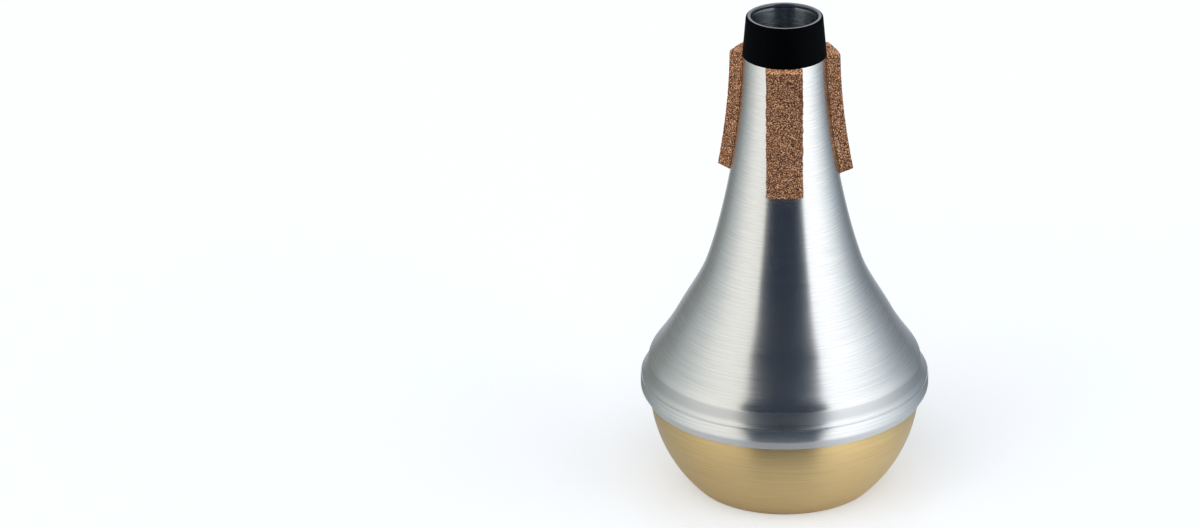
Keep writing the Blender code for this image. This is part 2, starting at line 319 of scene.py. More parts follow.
@dataclass(frozen=True)
class LatheBrushedMetal:
    """Sheet metal spun over a former and brushed in the lathe with abrasive cloth.

    The cloth leaves fine rings round the axis. They stretch a reflection along the axis and keep it fairly sharp
    round it, so that dark and bright surroundings stand on the metal as upright bands.
    """

    name: str
    colour: str
    shade: str
    roughness: float
    stretch: float
    rolled: tuple = ()              # bands that a roller made duller after the brushing, with a darker tone that is partly painted shade: middle and half width, millimetres
    rolled_edge: float = 0.6        # how softly such a band starts and ends, millimetres to each side
    rolled_roughness: float = 0.15  # how much rougher it is
    rolled_dulling_and_shade: float = 0.7       # and how far its tone goes from the colour to the shade: partly the duller rolled metal, partly painted shade
    ring_spacing: float = 0.40      # millimetres; the real grit's lines are finer than a pixel, so these are coarser
    streak_length: float = 0.9      # how many streaks follow each other in a radian of the turn
    line_roughness: float = 0.02    # how much the roughness varies from line to line
    cloud_roughness: float = 0.04   # and over the sheet
    cloud_scale: float = 70.0       # patches in a metre
    relief: float = 0.0015          # millimetres of height

    def material(self) -> bpy.types.Material:
        """Build metal whose tone, roughness and relief follow the rings.

        Returns:
            The material.
        """
        material, tree, output = new_material(self.name)
        place = add_node(tree, "ShaderNodeTexCoord")
        ring_map = add_node(tree, "ShaderNodeUVMap", uv_map=RING_MAP)
        along = add_node(tree, "ShaderNodeSeparateXYZ", {0: ring_map.outputs[0]})
        flat = add_node(tree, "ShaderNodeVectorMath", {0: place.outputs["Object"], 1: (1.0, 1.0, 0.0)},
                        operation="MULTIPLY")
        outward = add_node(tree, "ShaderNodeVectorMath", {0: flat.outputs[0]}, operation="NORMALIZE")
        fine_row = add_node(tree, "ShaderNodeCombineXYZ", {2: along.outputs[1]})
        fine = add_node(tree, "ShaderNodeVectorMath",
                        {0: outward.outputs[0], 1: (self.streak_length,) * 3, 2: fine_row.outputs[0]},
                        operation="MULTIPLY_ADD")
        streaks = add_node(tree, "ShaderNodeTexNoise", {"Vector": fine.outputs[0], "Scale": 1.0 / self.ring_spacing,
                                                        "Detail": 3.0, "Roughness": 0.65})
        bands = add_node(tree, "ShaderNodeTexNoise", {"Vector": fine_row.outputs[0], "Scale": 0.75 / self.ring_spacing,
                                                      "Detail": 3.0, "Roughness": 0.7})
        clouds = add_node(tree, "ShaderNodeTexNoise",
                          {"Vector": place.outputs["Object"], "Scale": self.cloud_scale, "Detail": 2.0})
        rings = add_node(tree, "ShaderNodeMath", {0: streaks.outputs[0], 1: bands.outputs[0]}, operation="ADD")
        lines = add_node(tree, "ShaderNodeMapRange", {"Value": rings.outputs[0], "From Min": 0.7, "From Max": 1.3})
        smoothest = self.roughness - 0.5 * (self.line_roughness + self.cloud_roughness)
        spread = add_node(tree, "ShaderNodeMath", {0: lines.outputs[0], 1: self.line_roughness, 2: smoothest},
                          operation="MULTIPLY_ADD")
        rough = add_node(tree, "ShaderNodeMath", {0: clouds.outputs[0], 1: self.cloud_roughness, 2: spread.outputs[0]},
                         operation="MULTIPLY_ADD")
        height = add_node(tree, "ShaderNodeSeparateXYZ", {0: place.outputs["Object"]})
        # Each rolled band is rougher and darker in tone. The darker tone is partly the duller rolled metal and partly
        # painted shade for the rings on the bead.
        for middle, half_width in self.rolled:
            above = add_node(tree, "ShaderNodeMath", {0: height.outputs[2], 1: middle * MM}, operation="SUBTRACT")
            away = add_node(tree, "ShaderNodeMath", {0: above.outputs[0]}, operation="ABSOLUTE")
            dulled_and_shaded = add_node(tree, "ShaderNodeMapRange",
                              {"Value": away.outputs[0], "From Min": (half_width + self.rolled_edge) * MM,
                               "From Max": (half_width - self.rolled_edge) * MM}, interpolation_type="SMOOTHSTEP")
            rough = add_node(tree, "ShaderNodeMath",
                             {0: dulled_and_shaded.outputs[0], 1: self.rolled_roughness, 2: rough.outputs[0]},
                             operation="MULTIPLY_ADD")
            lines = add_node(tree, "ShaderNodeMath", {0: dulled_and_shaded.outputs[0], 1: -self.rolled_dulling_and_shade, 2: lines.outputs[0]},
                             operation="MULTIPLY_ADD")
        tone = add_node(tree, "ShaderNodeMix", data_type="RGBA", inputs={
            "Factor": lines.outputs[0], "A": linear(self.shade), "B": linear(self.colour)})
        relief = add_node(tree, "ShaderNodeBump",
                          {"Height": rings.outputs[0], "Distance": self.relief * MM, "Strength": 0.15})
        tangent = add_node(tree, "ShaderNodeTangent", direction_type="UV_MAP", uv_map=RING_MAP)
        metal = add_node(tree, "ShaderNodeBsdfPrincipled",
                         {"Base Color": tone.outputs["Result"], "Metallic": 1.0, "Roughness": rough.outputs[0],
                          "Anisotropic": self.stretch, "Anisotropic Rotation": 0.25, "Normal": relief.outputs[0],
                          "Tangent": tangent.outputs[0]})
        tree.links.new(metal.outputs[0], output.inputs["Surface"])
        return material


@dataclass(frozen=True)
class BlackMoulding:
    """Black ABS, injection moulded. Outside it is fine-grained and dull; the rim and the bore are smooth and shine."""

    name: str
    colour: str
    shade: str
    roughness: float
    grain: float                    # millimetres between the grains
    relief: float                   # millimetres of height
    gloss: float                    # specular level; 0.5 is the bare plastic, less is a scuffed or textured one
    ior: float = 1.54
    unevenness: float = 0.2         # how much the roughness varies with the grain

    def material(self) -> bpy.types.Material:
        """Build dark plastic with a moulded grain.

        Returns:
            The material.
        """
        material, tree, output = new_material(self.name)
        place = add_node(tree, "ShaderNodeTexCoord")
        grain = add_node(tree, "ShaderNodeTexNoise",
                         {"Vector": place.outputs["Object"], "Scale": 1.0 / (self.grain * MM), "Detail": 3.0})
        tone = add_node(tree, "ShaderNodeMix", data_type="RGBA", inputs={
            "Factor": grain.outputs[0], "A": linear(self.shade), "B": linear(self.colour)})
        smoothest = self.roughness - 0.5 * self.unevenness
        spread = add_node(tree, "ShaderNodeMath", {0: grain.outputs[0], 1: self.unevenness, 2: smoothest},
                          operation="MULTIPLY_ADD")
        relief = add_node(tree, "ShaderNodeBump", {"Height": grain.outputs[0], "Distance": self.relief * MM})
        plastic = add_node(tree, "ShaderNodeBsdfPrincipled",
                           {"Base Color": tone.outputs["Result"], "Roughness": spread.outputs[0], "IOR": self.ior,
                            "Specular IOR Level": self.gloss, "Normal": relief.outputs[0]})
        tree.links.new(plastic.outputs[0], output.inputs["Surface"])
        return material


@dataclass(frozen=True)
class PressedCork:
    """Agglomerated cork: granules pressed with binder, cut with a saw and sanded. It looks dull, speckled and slightly
    pitted.

    The cut sides are paler than the outer face, which has been sanded and handled. Beyond that, the sides are painted
    lighter against the cone's shade, and the top ends much lighter as a painted highlight of light from above.
    """

    name: str = "agglomerated_cork"
    granule: float = 1.2            # millimetres across
    speck: float = 0.33             # millimetres; the finest grain is under a pixel, so it is drawn this coarse
    speck_share: float = 0.85       # how much of the colour the specks give; the granules give the rest
    joint_width: float = 0.12       # of the binder between two granules, as a share of a granule
    joint_tone: float = 0.84        # how dark the binder is
    handled_tone: float = 0.95      # tone of the outer face, which has been handled
    cut_and_lit_tone: float = 2.1         # and of an end: partly paler newly cut cork, mostly a painted highlight of light from above
    relief: float = 0.2             # millimetres of height

    def material(self) -> bpy.types.Material:
        """Build granules of mixed browns, with dark pits between them and pale dust on them.

        Returns:
            The material.
        """
        material, tree, output = new_material(self.name)
        place = add_node(tree, "ShaderNodeTexCoord")
        spot = place.outputs["Object"]
        granules = add_node(tree, "ShaderNodeTexVoronoi", {"Vector": spot, "Scale": 1.0 / (self.granule * MM)})
        joints = add_node(tree, "ShaderNodeTexVoronoi", {"Vector": spot, "Scale": 1.0 / (self.granule * MM)},
                          feature="DISTANCE_TO_EDGE")
        specks = add_node(tree, "ShaderNodeTexNoise", {"Vector": spot, "Scale": 1.0 / (self.speck * MM), "Detail": 2.0,
                                                       "Roughness": 0.6})
        tone = add_node(tree, "ShaderNodeSeparateColor", {0: granules.outputs["Color"]})
        base = add_node(tree, "ShaderNodeValToRGB", {0: tone.outputs[0]},
                        stops=((0.0, "613A22"), (1.0, "936446"), (0.35, "734B30"), (0.7, "82573C")))
        dusted = add_node(tree, "ShaderNodeValToRGB", {0: specks.outputs[0]}, stops=(
            (0.36, "1C0A03"), (0.64, "FFCFA4"), (0.44, "4A2713"), (0.50, "7A4B32"), (0.56, "BA825C")))
        mixed = add_node(tree, "ShaderNodeMix", data_type="RGBA", inputs={
            "Factor": self.speck_share, "A": base.outputs[0], "B": dusted.outputs[0]})
        # Painted light: the cut sides, and most of all the top ends, are made paler to stand in for light from above
        # and against the cone's shade; a small part is the paler newly cut cork.
        cut_and_lit = add_node(tree, "ShaderNodeAttribute", attribute_name=CUT_AND_LIT_ATTRIBUTE)
        paler_and_lit = add_node(tree, "ShaderNodeMapRange", {"Value": cut_and_lit.outputs["Fac"], "From Max": END_CUT_AND_LIGHT,
                                                      "To Min": self.handled_tone, "To Max": self.cut_and_lit_tone})
        seam = add_node(tree, "ShaderNodeMapRange",
                        {"Value": joints.outputs[0], "From Max": self.joint_width, "To Min": self.joint_tone})
        light = add_node(tree, "ShaderNodeMath", {0: seam.outputs[0], 1: paler_and_lit.outputs[0]}, operation="MULTIPLY")
        shaded = add_node(tree, "ShaderNodeVectorMath", {0: mixed.outputs["Result"], "Scale": light.outputs[0]},
                          operation="SCALE")
        relief = add_node(tree, "ShaderNodeBump", {"Height": specks.outputs[0], "Distance": self.relief * MM})
        cork = add_node(tree, "ShaderNodeBsdfPrincipled",
                        {"Base Color": shaded.outputs[0], "Roughness": 0.86, "Normal": relief.outputs[0]})
        tree.links.new(cork.outputs[0], output.inputs["Surface"])
        return material


@dataclass(frozen=True)
class DriedFilm:
    """Adhesive or sealing compound that has dried in place: slightly uneven, half gloss."""

    name: str
    colour: str
    shade: str
    roughness: float
    lump_scale: float = 900.0       # lumps in a metre
    relief: float = 0.05            # millimetres of height

    def material(self) -> bpy.types.Material:
        """Build an uneven film whose colour deepens where it is thick.

        Returns:
            The material.
        """
        material, tree, output = new_material(self.name)
        place = add_node(tree, "ShaderNodeTexCoord")
        lumps = add_node(tree, "ShaderNodeTexNoise",
                         {"Vector": place.outputs["Object"], "Scale": self.lump_scale, "Detail": 2.0})
        tone = add_node(tree, "ShaderNodeMix", data_type="RGBA", inputs={
            "Factor": lumps.outputs[0], "A": linear(self.shade), "B": linear(self.colour)})
        relief = add_node(tree, "ShaderNodeBump", {"Height": lumps.outputs[0], "Distance": self.relief * MM})
        film = add_node(tree, "ShaderNodeBsdfPrincipled", {"Base Color": tone.outputs["Result"],
                                                           "Roughness": self.roughness, "Normal": relief.outputs[0]})
        tree.links.new(film.outputs[0], output.inputs["Surface"])
        return material


def settle(piece: bpy.types.Object, slot: str, *nodes: str) -> None:
    """Let a finished piece ride on the mute's body and stand for its CAD nodes.

    Args:
        piece: the finished piece.
        slot: not used.
        nodes: the CAD nodes that it replaces.
    """
    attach(piece, BODY)
    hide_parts(*nodes)
    log.info("%s: %d corners, stands for %s", piece.name, len(piece.data.vertices), ", ".join(nodes))


# ---- sub-assemblies

@dataclass
class BrassCup:
    """Spun brass bottom: flat base, rounded bowl, and a lip that runs up inside the cone's hem."""

    wall: float = 0.0007
    height: float = 0.0285
    radius: float = 0.0409
    base_radius: float = 0.0277
    base_edge_rounding: float = 0.0008
    bowl_curve_radius: float = 0.0440
    lip_length: float = 0.0032
    steps: int = 224
    finish: LatheBrushedMetal = LatheBrushedMetal("lathe_brushed_brass", "EBD09B", "D6B980", 0.35, 0.85)

    def outline(self, lip: np.ndarray) -> np.ndarray:
        """Outer side of the cup from its lip down to the middle of the base.

        Args:
            lip: points of the lip inside the hem, from its top down to the seam.

        Returns:
            The points; the bowl is one circular arc and its corner with the flat base is rounded.
        """
        seam, corner = (self.radius, self.height), (self.base_radius, 0.0)
        chord = math.dist(seam, corner)
        crown = self.bowl_curve_radius - math.sqrt(self.bowl_curve_radius ** 2 - 0.25 * chord ** 2)
        bowl = crowned_arc(seam, corner, crown, 60)
        edge = fillet(bowl[-2], corner, (0.0, 0.0), self.base_edge_rounding, 8)
        bowl = bowl[bowl[:, 1] > edge[0, 1] + 0.1 * MM]
        disc = np.stack((np.linspace(edge[-1, 0], 0.0, 40), np.zeros(40)), axis=1)
        return np.vstack((lip[:-1], bowl, edge, disc[1:]))

    def build(self, lip: np.ndarray) -> None:
        """Turn the cup and dress it.

        Args:
            lip: points of the lip inside the hem.
        """
        outer = self.outline(lip)
        inner = inward(outer, self.wall)
        inner[-1, 0] = 0.0
        piece = revolve("brass_cup", np.vstack((thinned(inner, 3)[::-1], outer)), self.steps)
        piece.data.materials.append(self.finish.material())
        settle(piece, "brass", "bottom_cup")


@dataclass
class AluminiumCone:
    """Spun aluminium cone: reduced end inside the collar, flare, a hollow band over a crowned one, and the hem."""

    wall: float = 0.0007
    edge_rounding: float = 0.0003
    hem_edge: tuple = (0.0419, 0.0285)
    hem_corner: tuple = (0.0436, 0.0314)        # where the lower band turns in towards the cup
    hem_corner_rounding: float = 0.0016
    hem_crown: float = 0.0001
    groove: tuple = (0.0435, 0.0356)
    groove_depth: float = 0.0004
    groove_width: float = 0.0006
    band_hollow: float = 0.0003
    crease_rounding: float = 0.0007
    spigot_top: tuple = (0.0108, 0.14885)
    spigot_step: float = 0.0009
    steps: int = 224
    finish: LatheBrushedMetal = LatheBrushedMetal("lathe_brushed_aluminium", "F3F5F6", "DADDE0", 0.26, 0.95,
                                                  ((38.5, 1.4), (30.0, 1.6)))
    # The inside is darker in tone than the outside: partly unpolished metal, partly painted shade inside the narrow
    # tube.
    inside: LatheBrushedMetal = LatheBrushedMetal("unpolished_and_shaded_aluminium", "D6DEE6", "8C969F", 0.28, 1.0)

    # The flare from the bead up: height, radius, and radius lost for each metre of height
    STATIONS = ((0.0398, 0.0413, 0.02), (0.0445, 0.03895, 0.74), (0.0540, 0.03285, 0.52),
                (0.0720, 0.0234, 0.34), (0.1002, 0.01635, 0.19), (0.1378, 0.0122, 0.01))

    @property
    def seat_height(self) -> float:
        """Height of the step that the collar stands on."""
        return self.STATIONS[-1][0]

    def flare_radius(self, height: np.ndarray) -> np.ndarray:
        """Outer radius of the flare: between two stations, the cubic that has the radius and the slope of both.

        Args:
            height: heights between the top of the bead and the seat of the collar.

        Returns:
            The radius at each height.
        """
        stations = np.array(self.STATIONS)
        below = np.clip(np.searchsorted(stations[:, 0], height, side="right") - 1, 0, len(stations) - 2)
        low, high = stations[below], stations[below + 1]
        span = high[..., 0] - low[..., 0]
        t = (height - low[..., 0]) / span
        return (low[..., 1] * (2 * t ** 3 - 3 * t ** 2 + 1) - low[..., 2] * span * (t ** 3 - 2 * t ** 2 + t)
                + high[..., 1] * (3 * t ** 2 - 2 * t ** 3) - high[..., 2] * span * (t ** 3 - t ** 2))

    def hem(self) -> np.ndarray:
        """Outer side of the lower band.

        Returns:
            The points, from the groove down to the band's corner and in to the hem's edge.
        """
        crowned = crowned_arc(self.groove, self.hem_corner, self.hem_crown, 20)
        corner = fillet(crowned[-2], self.hem_corner, self.hem_edge, self.hem_corner_rounding, 6)
        crowned = crowned[crowned[:, 1] > corner[0, 1] + 0.05 * MM]
        return np.vstack((crowned, corner, np.linspace(corner[-1], self.hem_edge, 16)[1:]))

    def lip(self, length: float, gap: float, rows: int = 8) -> np.ndarray:
        """Outer side of the cup's lip, which follows the inside of the hem.

        Args:
            length: how far the lip runs up from the hem's edge.
            gap: clearance between the hem and the lip.
            rows: steps along the lip.

        Returns:
            The points, from the top of the lip down to the seam.
        """
        line = inward(self.hem(), self.wall + gap)
        back = np.concatenate(([0.0], np.hypot(*np.diff(line[::-1], axis=0).T).cumsum()))
        wanted = np.linspace(length, 0.0, rows + 1)
        return np.stack([np.interp(wanted, back, line[::-1, axis]) for axis in (0, 1)], axis=1)

    def outline(self) -> np.ndarray:
        """Outer side of the cone: reduced end, seat of the collar, flare and both bands.

        Returns:
            The points, from the top of the reduced end to the edge of the hem.
        """
        bead_top, shoulder = self.STATIONS[0][0], self.STATIONS[2][0]
        heights = np.append(np.linspace(self.seat_height, shoulder, 120), np.linspace(shoulder, bead_top, 70)[1:])
        flare = np.stack((self.flare_radius(heights), heights), axis=1)
        spigot = np.linspace(self.spigot_top, flare[0] - (self.spigot_step, 0.0), 12)
        seat = fillet(spigot[-1], flare[0], flare[1], 0.2 * MM, 4)
        band = crowned_arc(flare[-1], self.groove, -self.band_hollow, 24)
        crease = fillet(flare[-2], flare[-1], band[1], self.crease_rounding, 6)
        flare = flare[(flare[:, 1] < seat[-1, 1] - 0.1 * MM) & (flare[:, 1] > crease[0, 1] + 0.05 * MM)]
        band = band[band[:, 1] < crease[-1, 1] - 0.05 * MM]
        return np.vstack((spigot, seat, flare, crease, band, self.hem()[1:]))

    def build(self) -> None:
        """Turn the cone and dress it."""
        outer = self.outline()
        inner = inward(outer, self.wall)
        outer = scored(outer, self.groove, self.groove_depth, self.groove_width)
        ring = np.vstack((
            outer[1:-1],
            fillet(outer[-2], outer[-1], inner[-1], self.edge_rounding, 5),
            fillet(outer[-1], inner[-1], inner[-2], self.edge_rounding, 5),
            thinned(inner[1:-1], 4)[::-1],
            fillet(inner[1], inner[0], outer[0], self.edge_rounding, 4),
            fillet(inner[0], outer[0], outer[1], self.edge_rounding, 4)))
        piece = revolve("aluminium_cone", ring, self.steps)
        piece.data.materials.append(self.finish.material())
        piece.data.materials.append(self.inside.material())
        row = np.arange(len(piece.data.polygons)) // self.steps
        last_edge_row = len(outer) + 8
        piece.data.polygons.foreach_set("material_index", (row > last_edge_row).astype(np.int32))
        settle(piece, "aluminium", "cone_body")


@dataclass
class EndCollar:
    """Black moulded collar: a tapered sleeve round the neck's reduced end, and a lip over that end."""

    foot: tuple = (0.0125, 0.13785)
    top_height: float = 0.1500
    taper: float = 0.0011
    sleeve_foot_bore: float = 0.0116
    ledge: tuple = (0.0111, 0.1489)
    bore: float = 0.0099
    outer_rounding: float = 0.0006
    inner_rounding: float = 0.0004
    foot_rounding: float = 0.0001
    steps: int = 160
    sleeve_finish: BlackMoulding = BlackMoulding("grained_black_abs", "020408", "000001", 0.60, 0.5, 0.03, 0.03)
    # The rim and the bore are a lighter bluish grey than the sleeve: smooth black plastic, with a painted sheen
    # standing in for reflected light.
    rim_finish: BlackMoulding = BlackMoulding("smooth_black_abs_painted_sheen", "35404C", "28313B", 0.20, 0.9, 0.002, 1.0, 1.75)

    def build(self) -> None:
        """Turn the collar and dress its outside and its rim."""
        rim_outer, rim_inner = (self.foot[0] - self.taper, self.top_height), (self.bore, self.top_height)
        sleeve_foot, ledge_inner = (self.sleeve_foot_bore, self.foot[1]), (self.bore, self.ledge[1])
        outer_edge = fillet(rim_inner, rim_outer, self.foot, self.outer_rounding, 8)
        foot_edge = fillet(rim_outer, self.foot, sleeve_foot, self.foot_rounding, 3)
        sleeve = np.linspace(outer_edge[-1], foot_edge[0], 14)[1:-1]
        inside = np.linspace(sleeve_foot, self.ledge, 5)
        ledge_edge = fillet(self.ledge, ledge_inner, rim_inner, self.foot_rounding, 3)
        inner_edge = fillet(ledge_inner, rim_inner, rim_outer, self.inner_rounding, 5)
        outside = np.vstack((outer_edge, sleeve, foot_edge))
        piece = revolve("black_collar", np.vstack((outside, inside, ledge_edge, inner_edge)), self.steps)
        piece.data.materials.append(self.sleeve_finish.material())
        piece.data.materials.append(self.rim_finish.material())
        row = np.arange(len(piece.data.polygons)) // self.steps
        piece.data.polygons.foreach_set("material_index", (row >= len(outside)).astype(np.int32))
        settle(piece, "collar", "end_collar")


@dataclass
class CorkPad:
    """One cork pad, glued to the neck: its inner face is hollowed to the cone and its outer face follows the flare."""

    cone: AluminiumCone
    side: PadSide
    width: float = 0.0107
    thickness: float = 0.0038           # from the cone to the pad's outer face
    crown: float = 0.0003
    undercut: float = 0.0011
    film: float = 0.0002
    edge_rounding: float = 0.0002
    spacing: float = 0.00024
    pit_depth: float = 0.00010
    pit_sizes: tuple = (0.0006, 0.00035)    # of the larger and the smaller pits
    pit_level: float = 0.46             # grain under this is a pit,
    pit_fall: float = 0.25              # which is deepest where the grain is this far under it
    wave_size: float = 0.003            # of the saw's wander

    @property
    def length(self) -> float:
        """Length that this side's pad was cut to."""
        return self.side.length

    def grid_lines(self, size: float) -> np.ndarray:
        """Grid lines along one edge of the block, closer together at its rounded ends.

        Args:
            size: length of the edge.

        Returns:
            Their places, from 0 to size.
        """
        end = np.array((0.0, 0.35, 0.7, 1.0)) * self.edge_rounding
        middle = np.linspace(end[-1], size - end[-1], max(3, int(size / self.spacing)))
        return np.concatenate((end[:-1], middle, size - end[-2::-1]))

    def block(self) -> tuple:
        """The six sides of a block with rounded edges, as one closed grid.

        A corner at p goes to q + r (p - q) / |p - q|, where q is the nearest point of the block made smaller by the
        rounding r. Then it sinks along that direction into the pits of the cork.

        Returns:
            Corners in the block's own frame (across, up, outward), the faces' corner numbers, and how much paler each
            corner is painted: partly newly cut cork, partly painted light.
        """
        lines = [self.grid_lines(size) for size in (self.width, self.length, self.thickness)]
        quads = []
        counts = [len(line) for line in lines]
        for axis in range(3):
            a, b = (axis + 1) % 3, (axis + 2) % 3
            first, second = np.meshgrid(np.arange(counts[a] - 1), np.arange(counts[b] - 1), indexing="ij")
            for end in (0, counts[axis] - 1):
                corners = np.zeros((first.size, 4, 3), np.int64)
                corners[..., axis] = end
                corners[..., a] = first.reshape(-1, 1) + ((0, 1, 1, 0) if end else (0, 0, 1, 1))
                corners[..., b] = second.reshape(-1, 1) + ((0, 0, 1, 1) if end else (0, 1, 1, 0))
                quads.append(corners)
        numbers = np.concatenate(quads).reshape(-1, 3)
        unique, faces = np.unique(numbers, axis=0, return_inverse=True)
        points = np.stack([lines[axis][unique[:, axis]] for axis in range(3)], axis=1)
        size = np.array((self.width, self.length, self.thickness))
        core = np.clip(points, self.edge_rounding, size - self.edge_rounding)
        away = points - core
        away /= np.linalg.norm(away, axis=1, keepdims=True)
        seed = 11 + 7 * list(PadSide).index(self.side)
        large, small = (lattice_noise(points, cell, seed + step) for step, cell in enumerate(self.pit_sizes))
        grain = (large + 0.7 * small) / 1.7
        pits = np.clip(self.pit_level - grain, 0.0, self.pit_fall) / self.pit_fall
        waves = lattice_noise(points, self.wave_size, seed + 2) - 0.5
        depth = self.pit_depth * (1.2 * pits ** 1.5 + 0.35 * (0.5 - grain) - 0.2 * waves)
        # Painted light: the ends weigh most, as a painted highlight of light from above; the long sides less, partly as
        # paler cut cork.
        cut_and_lit = away[:, :2] ** 2 @ (SIDE_CUT_AND_LIGHT, END_CUT_AND_LIGHT)
        return core + away * (self.edge_rounding - depth[:, None]), faces.reshape(-1, 4), cut_and_lit

    def placed(self, across: np.ndarray, depth: np.ndarray, height: np.ndarray) -> np.ndarray:
        """Places at x across and d in front of the axis, turned to this side: x cos a + d sin a, x sin a - d cos a."""
        sine, cosine = math.sin(self.side.turn), math.cos(self.side.turn)
        return np.stack((across * cosine + depth * sine, across * sine - depth * cosine, height), axis=1)

    def build(self, finish: bpy.types.Material) -> None:
        """Bend the block onto the neck and dress it.

        At height h and distance x from the middle, the inner face lies at sqrt(R(h)^2 - x^2) in front of the axis,
        R being the flare's radius, and the outer face at R(h) plus the thickness, less the crown at the long edges.

        Args:
            finish: the cork's material.
        """
        points, faces, cut_and_lit = self.block()
        across = points[:, 0] - 0.5 * self.width
        down = self.length - points[:, 1]
        outward = points[:, 2] / self.thickness
        radius = self.cone.flare_radius(np.minimum(self.cone.seat_height - down, self.cone.seat_height))
        height = self.cone.seat_height - down + self.undercut * down / self.length * outward
        inner = np.sqrt((radius + self.film) ** 2 - across ** 2)
        outer = radius + self.thickness - self.crown * (2.0 * across / self.width) ** 2
        bent = self.placed(across, inner + (outer - inner) * outward, height)
        label = self.side.name.lower()
        piece = make_piece("cork_pad_" + label, bent, [faces])
        piece.data.attributes.new(CUT_AND_LIT_ATTRIBUTE, "FLOAT", "POINT").data.foreach_set("value", cut_and_lit.astype(np.float32))
        piece.data.materials.append(finish)
        settle(piece, "cork", "cork_" + label)


@dataclass
class GlueFilm:
    """Contact cement under one cork pad, squeezed out a little and unevenly along the pad's edges."""

    pad: CorkPad
    overhang: float = 0.0001
    wander: float = 0.00035             # how far its outline wanders,
    waves: tuple = (5.0, 18.0)          # and in how many waves, from the middle across and up
    rim_share: float = 0.05             # share of the film that rises from the cone to the pad
    sag: float = 0.00025                # how far it has run down
    below: float = 0.00005              # its rim ends this far under the cone's skin
    above: float = 0.00004              # and its top starts this far over it
    grid: tuple = (25, 81)              # points across and up

    def build(self, finish: bpy.types.Material) -> None:
        """Lay the film on the cone under its pad.

        The film is a grid in turn and height. Its rim lies on the cone and its middle at the pad's inner face; its
        outline wanders in and out by smooth noise.

        Args:
            finish: the dried cement's material.
        """
        pad, cone = self.pad, self.pad.cone
        u, v = np.meshgrid(*(np.linspace(-1.0, 1.0, count) for count in self.grid), indexing="ij")
        u, v = u.ravel(), v.ravel()
        places = np.stack((u * self.waves[0], v * self.waves[1], np.full(len(u), pad.side.turn)), axis=1)
        spill = self.overhang + self.wander * (lattice_noise(places, 1.0, 5) - 0.5)
        across = u * (0.5 * pad.width + spill)
        height = cone.seat_height - 0.5 * pad.length + v * (0.5 * pad.length + spill) - self.sag
        height = np.minimum(height, cone.seat_height - 0.02 * MM)
        rim = np.clip((1.0 - np.maximum(np.abs(u), np.abs(v) ** 3)) / self.rim_share, 0.0, 1.0)
        sheets = []
        for lift in (-self.below, self.above + pad.film * rim):
            depth = np.sqrt((cone.flare_radius(height) + lift) ** 2 - across ** 2)
            sheets.append(pad.placed(across, depth, height))
        number = np.arange(len(u)).reshape(self.grid)
        a, b, c, d = (part.ravel() for part in (number[:-1, :-1], number[1:, :-1], number[1:, 1:], number[:-1, 1:]))
        top = np.stack((a, b, c, d), axis=1) + len(u)
        bottom = np.stack((a, d, c, b), axis=1)
        loop = np.concatenate((number[:, 0], number[-1, 1:], number[-2::-1, -1], number[0, -2:0:-1]))
        after = np.roll(loop, -1)
        wall = np.stack((loop, after, after + len(u), loop + len(u)), axis=1)
        label = pad.side.name.lower()
        piece = make_piece("glue_film_" + label, np.vstack(sheets), [np.vstack((bottom, top, wall))])
        piece.data.materials.append(finish)
        settle(piece, "glue", "glue_" + label)


